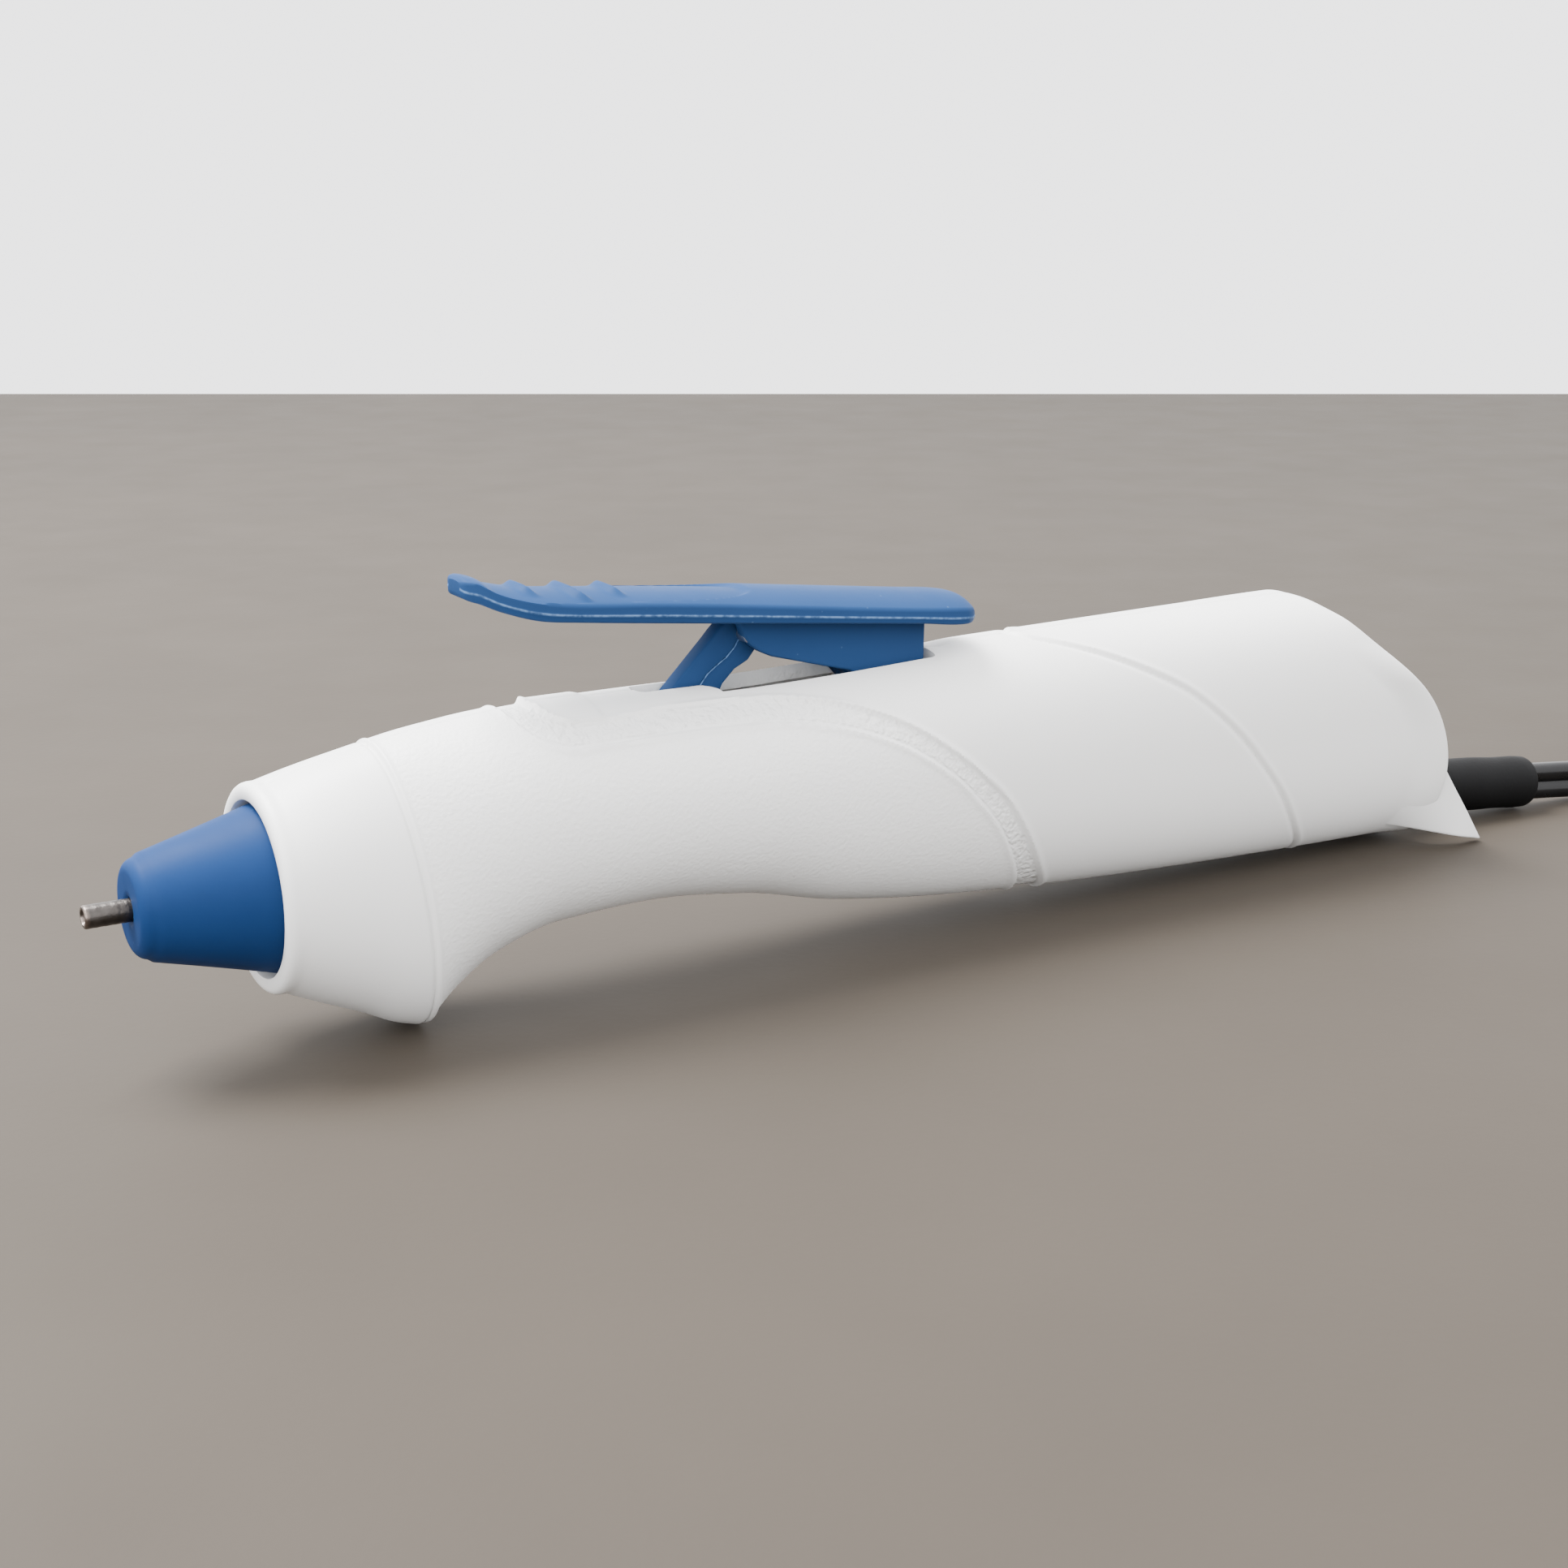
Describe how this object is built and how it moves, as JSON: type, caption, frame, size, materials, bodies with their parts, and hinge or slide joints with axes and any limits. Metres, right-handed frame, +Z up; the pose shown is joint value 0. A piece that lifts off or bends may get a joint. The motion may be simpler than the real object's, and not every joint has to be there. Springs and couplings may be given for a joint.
{
  "type": "hot glue pen",
  "caption": "Pen-shaped corded hot glue gun with a split casing, soft nose cone, steel nozzle, a thumb lever that feeds the stick through a link and carriage, tail feet and a hanked lead.",
  "frame": {"origin": "Under the middle of the pen's length, on the plane it lies on.", "axes": "+X runs from the nozzle to the tail along the glue path, +Z is up, the middle plane between the two shells is y = 0."},
  "size_m": [0.3977, 0.0531, 0.0536],
  "materials": {
    "shell_plastic": "satin moulded ABS, fine grain",
    "lever_plastic": "satin moulded blue plastic",
    "nose_silicone": "translucent blue silicone rubber",
    "nozzle_steel": "machined steel, heat tinted",
    "spring_steel": "bright spring steel",
    "chamber_alloy": "die-cast aluminium",
    "heater_ceramic": "sintered ceramic",
    "heater_brass": "rolled electrode sheet",
    "heater_film": "amber insulating film",
    "cradle_resin": "heat-resistant brown resin",
    "clear_silicone": "natural silicone rubber",
    "carriage_nylon": "natural nylon",
    "screw_steel": "zinc-plated steel",
    "cord_rubber": "matte black rubber",
    "cord_pvc": "glossy black PVC",
    "lead_red": "red lead insulation",
    "lead_white": "white lead insulation",
    "plug_brass": "nickel-washed brass blades"
  },
  "bodies": {
    "casing": {"left_shell": "shell_plastic", "right_shell": "shell_plastic", "shell_screws": "screw_steel", "nose_sleeve": "nose_silicone", "nozzle_tip": "nozzle_steel", "melt_chamber": "chamber_alloy", "heater_film": "heater_film", "heater_plates": "heater_brass", "heater_pill": "heater_ceramic", "chamber_cradle": "cradle_resin", "feed_sleeve": "clear_silicone", "sleeve_clamp": "spring_steel", "return_spring": "spring_steel", "lever_pin": "spring_steel", "stick_guide": "carriage_nylon", "live_lead": "lead_red", "neutral_lead": "lead_white", "thermal_fuse": "nozzle_steel", "inner_cord": "cord_pvc", "cord_clamp": "carriage_nylon", "clamp_screws": "screw_steel", "strain_relief": "cord_rubber", "power_cord": "cord_pvc", "cord_hank": "cord_pvc", "cord_tie": "cord_rubber", "plug_lead": "cord_pvc", "plug_body": "cord_pvc", "plug_blades": "plug_brass"},
    "lever": {"trigger_lever": "lever_plastic", "link_pin": "spring_steel"},
    "link": {"push_link": "lever_plastic"},
    "carriage": {"feed_carriage": "carriage_nylon", "carriage_pin": "spring_steel", "grip_plate": "spring_steel"}
  },
  "joints": [
    {"name": "lever_press", "type": "hinge", "parent": "casing", "child": "lever", "pos_m": [0.00245, 0, 0.0335], "axis": [0, -1, 0], "range_deg": [0, 10], "stiffness_Nm_per_rad": 1.2, "springref_deg": -6.88},
    {"name": "link_swing", "type": "hinge", "parent": "lever", "child": "link", "pos_m": [-0.01905, 0, 0.0429], "axis": [0, -1, 0], "range_deg": [-28, 1]},
    {"name": "feed_slide", "type": "slide", "parent": "casing", "child": "carriage", "axis": [-1, 0, 0], "range_m": [0, 0.0046], "deforming": ["return_spring"]}
  ],
  "couplings": [
    {"joint": "link_swing", "follows": "lever_press", "ratio": -2.75},
    {"joint": "feed_slide", "follows": "lever_press", "m_per_rad": 0.0245}
  ]
}
